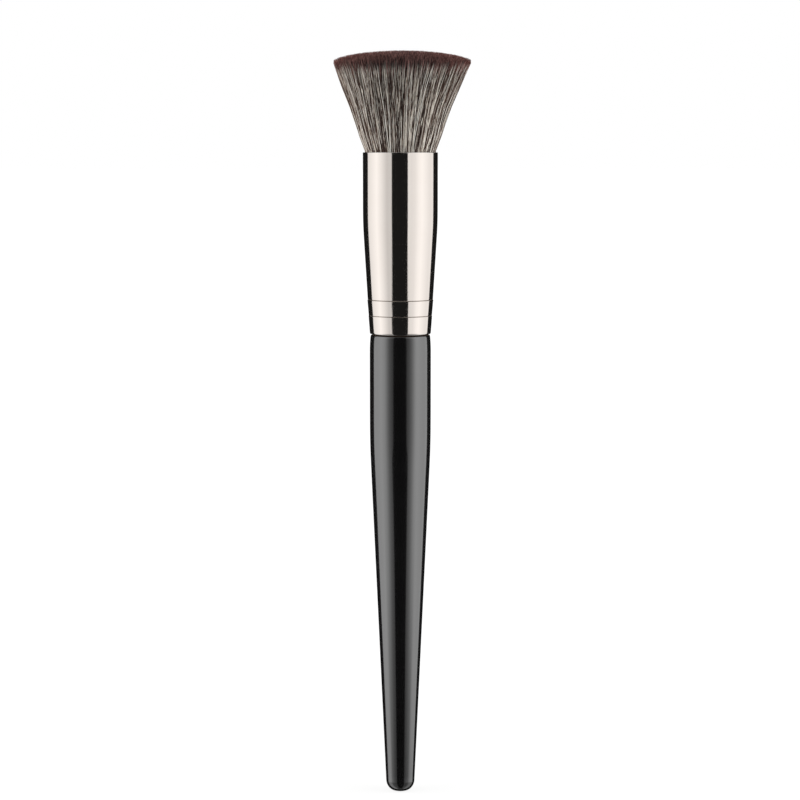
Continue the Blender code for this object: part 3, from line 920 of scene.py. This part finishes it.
def drawn(tree, fibre, given, draw, low=-1.0, high=1.0):
    """A random number for each fibre, which never changes for the same seed."""
    node = add_node(tree, "FunctionNodeRandomValue", data_type="FLOAT")
    for place, value in ((2, low), (3, high), (7, fibre), (8, given["Seed"] + draw)):
        plug(tree, node.inputs[place], value)
    return Field(node.outputs[1])


def bell(tree, fibre, given, draw):
    """A random number about zero that is seldom large, from three draws in a row."""
    first, second, third = (drawn(tree, fibre, given, draw + step) for step in range(3))
    return (first + second + third) / 3.0

# %% Where a fibre starts and ends
POINTS_PER_FIBRE = 8
GOLDEN_ANGLE = math.pi * (3.0 - math.sqrt(5.0))
RIM_POWER = 8
CUT_SPREAD = 0.9 * MM


def fibre_lines(tree, given):
    """One straight line of points for each fibre, all in the same place."""
    points = add_node(tree, "GeometryNodePoints", {"Count": given["Fibres"]}).outputs[0]
    line = add_node(tree, "GeometryNodeCurvePrimitiveLine").outputs[0]
    resampled = {"Curve": line, "Count": POINTS_PER_FIBRE}
    line = add_node(tree, "GeometryNodeResampleCurve", resampled).outputs[0]
    placed = {"Points": points, "Instance": line}
    lines = add_node(tree, "GeometryNodeInstanceOnPoints", placed).outputs[0]
    return add_node(tree, "GeometryNodeRealizeInstances", {"Geometry": lines}).outputs[0]


def fibre_ends(tree, given, fibre):
    """How far out each fibre stands at its root and its tip, how it turns, and its cut height."""
    share = ((fibre + 0.5) / given["Whole Count"]) ** 0.5
    lean = bell(tree, fibre, given, LEAN_DRAW) * given["Lean"] / given["Rim Spread"]
    tip_share = (share + lean).maths("MINIMUM", 1.0)
    tip_reach = tip_share * given["Rim Spread"] + 0.5 * MM
    turn = bell(tree, fibre, given, TURN_DRAW) * 1.4 * given["Lean"] / tip_reach
    dome = given["Dome Rise"] * tip_share ** 2.0
    drop = given["Rim Drop"] * tip_share ** RIM_POWER
    tip = given["Top Height"] - dome - drop - drawn(tree, fibre, given, CUT_DRAW, 0.0, CUT_SPREAD)
    return share, tip_share, turn, tip

# %% The way that a fibre takes
def disturbed(tree, given, fibre, x, y, rise, pull, phase):
    """A point of a fibre after the pull of its neighbours and its own wave."""
    strength = given["Lock Pull"] * 2.0 * rise
    bends = rise * drawn(tree, fibre, given, WAVE_DRAW, 5.0, 13.0)
    wave = (bends + phase).maths("SINE") * given["Wave"] * rise
    side = drawn(tree, fibre, given, SIDE_DRAW, 0.0, FULL_TURN)
    x = x + (pull[0] - 0.5) * strength + wave * side.maths("COSINE")
    y = y + (pull[1] - 0.5) * strength + wave * side.maths("SINE")
    return x, y


def held_in(tree, given, fibre, x, y, rise, bow, share):
    """What draws a point in to the tuft's skin, and how near to the skin it then lies."""
    edge = given["Mouth Spread"] + (given["Rim Spread"] - given["Mouth Spread"]) * rise + bow
    stray = share.ramp(0.995, 0.996) * drawn(tree, fibre, given, STRAY_DRAW, 0.1, 1.0)
    slack = given["Loose Skin"] * (1.0 - stray)
    edge = edge - slack * rise.ramp(0.05, 0.4) * rise.ramp(1.0, 0.85, 0.4, 1.0)
    reach = (x * x + y * y) ** 0.5 + 0.001 * MM
    held = (edge / reach).maths("MINIMUM", 1.0)
    return held, reach * held / edge


def swept(tree, given, lines, twist, rise):
    """The lines with a three-sided section along them, thinner at the tip, as one mesh."""
    turned_lines = {"Curve": lines, "Tilt": twist}
    lines = add_node(tree, "GeometryNodeSetCurveTilt", turned_lines).outputs[0]
    triangle = {"Resolution": 3, "Radius": 1.0}
    section = add_node(tree, "GeometryNodeCurvePrimitiveCircle", triangle).outputs[0]
    thickness = given["Fibre Radius"] * rise.ramp(-0.1, 0.3, 0.85, 1.0)
    thickness = thickness * rise.ramp(0.72, 1.0, 1.0, 0.35)
    sweep = {"Curve": lines, "Profile Curve": section, "Scale": thickness, "Fill Caps": True}
    mesh = add_node(tree, "GeometryNodeCurveToMesh", sweep).outputs[0]
    mesh = add_node(tree, "GeometryNodeSetShadeSmooth", {"Geometry": mesh}).outputs[0]
    mesh = add_node(tree, "GeometryNodeRealizeInstances", {"Geometry": mesh}).outputs[0]
    finished = {"Geometry": mesh, "Material": given["Material"]}
    return add_node(tree, "GeometryNodeSetMaterial", finished).outputs[0]

# %% The tree that grows the fibres
def fibre_tree():
    """The rule of the tuft as a Geometry Nodes tree."""
    tree, given = geometry_tree("brush_fibres", FIBRE_INPUTS)
    lines = fibre_lines(tree, given)
    index = Field(add_node(tree, "GeometryNodeInputIndex").outputs[0])
    fibre = (index / POINTS_PER_FIBRE).maths("FLOOR") + given["First Fibre"]
    along = Field(add_node(tree, "GeometryNodeSplineParameter").outputs["Factor"])
    share, tip_share, turn, tip = fibre_ends(tree, given, fibre)
    height = given["Root Height"] + (tip - given["Root Height"]) * along
    rise = ((height - given["Mouth Height"]) / (tip - given["Mouth Height"])).maths("MAXIMUM", 0.0)

    # The plain rule: out from the spiral's place at the mouth to its place at the rim.
    bow = rise.ramp(0.2, 0.47) * rise.ramp(0.8, 0.55) * (-0.25 * MM)
    root_spread = share * given["Mouth Spread"]
    spread = root_spread + (tip_share * given["Rim Spread"] - root_spread) * rise + bow * share
    angle = fibre * GOLDEN_ANGLE
    around = angle + turn * rise
    x = spread * around.maths("COSINE")
    y = spread * around.maths("SINE")

    # Neighbours stand close in one noise, which pulls them the same way, into locks.
    lock_height = rise * 0.35 + given["Lock Place"]
    root = vector(tree, share * angle.maths("COSINE"), share * angle.maths("SINE"), lock_height)
    pull = add_node(tree, "ShaderNodeTexNoise", {"Vector": root, "Scale": 9.0, "Detail": 2.0})
    pull = split(tree, pull.outputs["Color"])
    phase = drawn(tree, fibre, given, PHASE_DRAW, 0.0, FULL_TURN)
    x, y = disturbed(tree, given, fibre, x, y, rise, pull, phase)
    held, depth = held_in(tree, given, fibre, x, y, rise, bow, share)
    place = vector(tree, x * held + given["Sway"] * rise ** 3.0, y * held, height)
    moved = {"Geometry": lines, "Position": place}
    lines = add_node(tree, "GeometryNodeSetPosition", moved).outputs[0]

    # The numbers that the finish reads.
    lock = noise(tree, root, 6.0, 2.0)
    own = drawn(tree, fibre, given, OWN_DRAW, 0.0, 1.0)
    # Painted shade: fibres that lie further in from the tuft's skin get a lower tone, so they are
    # painted darker.
    tone_and_shade = own * 1.15 - 0.215 + (lock - 0.5) * 0.8 - depth.ramp(0.96, 0.84, 0.0, 0.45)
    grain = drawn(tree, fibre, given, GRAIN_DRAW, 0.0, 1.0) + (pull[2] - 0.5) * 0.9
    for name, value in (("own", own), ("tone_and_shade", tone_and_shade), ("grain", grain), ("to_tip", tip - height)):
        store = {"Geometry": lines, "Name": name, "Value": value}
        node = add_node(tree, "GeometryNodeStoreNamedAttribute", store, data_type="FLOAT")
        lines = node.outputs[0]

    twist = phase + rise * drawn(tree, fibre, given, TWIST_DRAW, -3.0, 3.0)
    mesh = swept(tree, given, lines, twist, rise)
    plug(tree, tree.nodes.new("NodeGroupOutput").inputs[0], mesh)
    return tree


FIBRE_TREE = fibre_tree()
print("the fibre tree has", len(FIBRE_TREE.nodes), "nodes")

# %% [markdown]
# The tuft has too many faces for one mesh, so it is made in rings. The spiral runs outwards, so
# each piece takes the next run of fibres on it, from the heart of the tuft to its outer skin.

# %% Growing the fibres
FIBRES_PER_PIECE = 4400
FIBRE_PIECES = (
    "fibres_heart", "fibres_core", "fibres_inner", "fibres_middle", "fibres_outer", "fibres_skin",
)

FIBRE_VALUES = {
    "Fibres": FIBRES_PER_PIECE,
    "Whole Count": FIBRES_PER_PIECE * len(FIBRE_PIECES),
    "Seed": 6,
    "Root Height": MOUTH - SLICE_DEPTH,
    "Mouth Height": MOUTH,
    "Top Height": MOUTH + TUFT_REACH - 0.1 * MM,
    "Mouth Spread": 8.1 * MM,
    "Rim Spread": TUFT_RADIUS,
    "Dome Rise": DOME_RISE,
    "Rim Drop": RIM_DROP,
    "Fibre Radius": 0.078 * MM,
    "Lean": 3.0 * MM,
    "Lock Pull": 0.4 * MM,
    "Lock Place": 40.0,
    "Wave": 0.2 * MM,
    "Loose Skin": 0.35 * MM,
    "Sway": 0.45 * MM,
    "Material": FIBRE,
}


def grow(name, tree, values):
    """Runs a Geometry Nodes tree with the given values and keeps its mesh as a plain piece."""
    piece = new_object(name, bpy.data.meshes.new(name))
    modifier = piece.modifiers.new("grow", "NODES")
    modifier.node_group = tree
    for item in tree.interface.items_tree:
        if item.in_out == "INPUT":
            modifier[item.identifier] = values[item.name]
    graph = bpy.context.evaluated_depsgraph_get()
    mesh = bpy.data.meshes.new_from_object(piece.evaluated_get(graph))
    piece.modifiers.remove(modifier)
    piece.data = mesh
    mesh.name = name
    print_triangles(mesh)
    return piece


for order, name in enumerate(FIBRE_PIECES):
    values = dict(FIBRE_VALUES)
    values["First Fibre"] = order * FIBRES_PER_PIECE
    fibres = grow(name, FIBRE_TREE, values)
    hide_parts("bristle_tuft")
    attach(fibres, "root")

# %% [markdown]
# ## What the ferrule hides
#
# Inside the ferrule the fibres are packed tight, tied with thread, set in resin and closed with
# glue round the tenon. Nobody sees these pieces on a whole brush, but the model can be opened, so
# each keeps its solid and gets a finish of its own.

# %% Finishes inside the ferrule
PACKED_TONES = ((0.36, (0.04, 0.028, 0.022)), (0.52, (0.13, 0.1, 0.085)), (0.66, (0.34, 0.3, 0.26)))
PACKED_RESIN = (0.16, 0.12, 0.08)
THREAD_DEEP, THREAD_PALE = (0.42, 0.38, 0.3), (0.78, 0.75, 0.67)


def packed_fibre():
    """Root ends pressed together: a fine grain of dark and light dots that runs along the brush."""
    material, tree, shader, place = new_finish("packed_fibre")
    x, y, z = split(tree, place)
    grain = noise(tree, vector(tree, x, y, z * 0.06), 4200.0, 2.0)
    patches = effect(tree, "patches", place=place, scale=300.0)
    colour = mix_colour(tree, patches * 0.4, colour_ramp(tree, grain, PACKED_TONES), PACKED_RESIN)
    plug(tree, shader.inputs["Base Color"], colour)
    plug(tree, shader.inputs["Roughness"], patches * 0.25 + 0.5)
    bump(tree, shader, grain, 0.06 * MM)
    return material


def cotton_thread():
    """Waxed cotton: slanting plies round the thread, with a little fuzz."""
    material, tree, shader, place = new_finish("cotton_thread")
    x, y, z = split(tree, place)
    turn = y.maths("ARCTAN2", x)
    plies = (turn * 60.0 + z * 9000.0).maths("SINE") * 0.5 + 0.5
    fuzz = noise(tree, place, 9000.0, 3.0)
    shade = plies * 0.6 + fuzz * 0.4
    plug(tree, shader.inputs["Base Color"], mix_colour(tree, shade, THREAD_DEEP, THREAD_PALE))
    plug(tree, shader.inputs["Roughness"], fuzz * 0.2 + 0.65)
    bump(tree, shader, shade, 0.05 * MM)
    return material


def cured(name, pale, deep, cloud_scale, roughness):
    """A cast adhesive: cloudy depth, small trapped bubbles and a skin that has sunk a little."""
    material, tree, shader, place = new_finish(name)
    clouds = effect(tree, "patches", place=place, scale=cloud_scale)
    cells = add_node(tree, "ShaderNodeTexVoronoi", {"Vector": place, "Scale": 1500.0})
    bubbles = Field(cells.outputs["Distance"]).ramp(0.22, 0.14)
    colour = mix_colour(tree, clouds, deep, pale)
    plug(tree, shader.inputs["Base Color"], mix_colour(tree, bubbles * 0.5, colour, pale))
    plug(tree, shader.inputs["Roughness"], clouds * 0.15 + bubbles * 0.1 + roughness)
    bump(tree, shader, clouds * 0.6 - bubbles * 0.4, 0.05 * MM)
    return material

# %% Giving the hidden solids their finishes
INSIDE = {
    "packed_roots": packed_fibre(),
    "tie_thread": cotton_thread(),
    "epoxy_plug": cured("clear_resin", (0.8, 0.68, 0.42), (0.5, 0.36, 0.14), 350.0, 0.12),
    "tenon_glue": cured("cream_glue", (0.88, 0.85, 0.75), (0.7, 0.65, 0.52), 500.0, 0.35),
}

for node_name, material in INSIDE.items():
    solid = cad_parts[node_name]
    for material_place in solid.material_slots:
        material_place.material = material
    if not solid.material_slots:
        solid.data.materials.append(material)
    print(node_name, "wears", material.name)

# %% [markdown]
# The fibres stand on a thin slice of packed fibre that closes the tuft below. It is turned like
# the other round pieces, with a slightly uneven skin from the resin that soaked into it.

# %% The slice under the fibres
SLICE_EDGE = 0.1 * MM
SLICE_STEP = 0.3 * MM
RIPPLE_DEPTH = 0.02 * MM
RIPPLE_RATE = 900.0


def make_slice():
    """The backing that the fibres stand in, inside the ferrule."""
    top = MOUTH - SLICE_DEPTH
    bottom = top - SLICE_THICKNESS
    radius = MOUTH_RADIUS - FERRULE_WALL - FIT_GAP
    side = heights(top - SLICE_EDGE, bottom + SLICE_EDGE, SLICE_STEP)
    profile = [(0.0, top), (radius - SLICE_EDGE, top)]
    profile += [(radius - RIPPLE_DEPTH * math.sin(RIPPLE_RATE * h / MM), h) for h in side]
    profile += [(radius - SLICE_EDGE, bottom), (0.0, bottom)]
    return turned("fibre_backing", profile)


backing = make_slice()
backing.data.materials.append(INSIDE["packed_roots"])
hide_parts("bristle_tuft")
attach(backing, "root")
